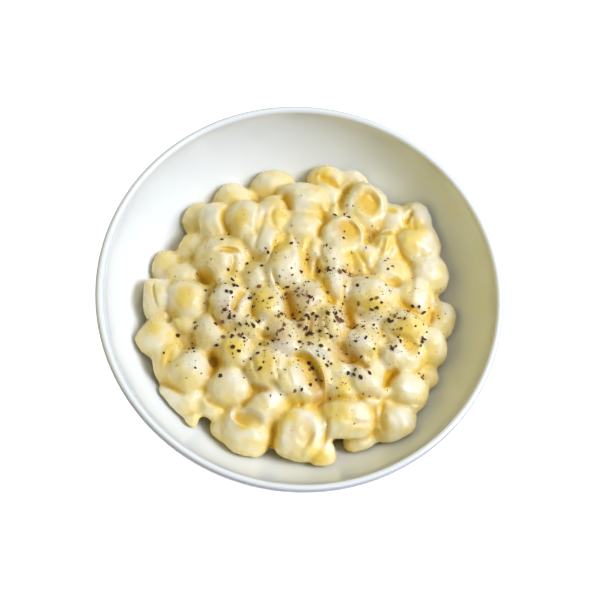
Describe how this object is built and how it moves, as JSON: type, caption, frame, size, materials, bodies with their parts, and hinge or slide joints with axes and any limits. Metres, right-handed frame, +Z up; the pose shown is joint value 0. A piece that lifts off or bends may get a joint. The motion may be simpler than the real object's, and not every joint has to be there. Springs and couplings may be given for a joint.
{
  "type": "bowl of macaroni and cheese",
  "caption": "Round white porcelain bowl on a foot ring, filled with a low heap of small pasta shells in cheese sauce with ground black pepper.",
  "frame": {"origin": "centre of the bowl's foot ring, on the surface that the bowl stands on", "axes": "+Z up along the bowl's axis, -Y towards the near side, +X to the right of someone at the near side"},
  "size_m": [0.165, 0.165, 0.058],
  "materials": {
    "porcelain": "glossy white glaze",
    "sauced_pasta": "wet, glossy cream cheese sauce over pasta, with dark specks"
  },
  "bodies": {
    "root": {"bowl": "porcelain", "mac_and_cheese": "sauced_pasta"}
  },
  "joints": []
}
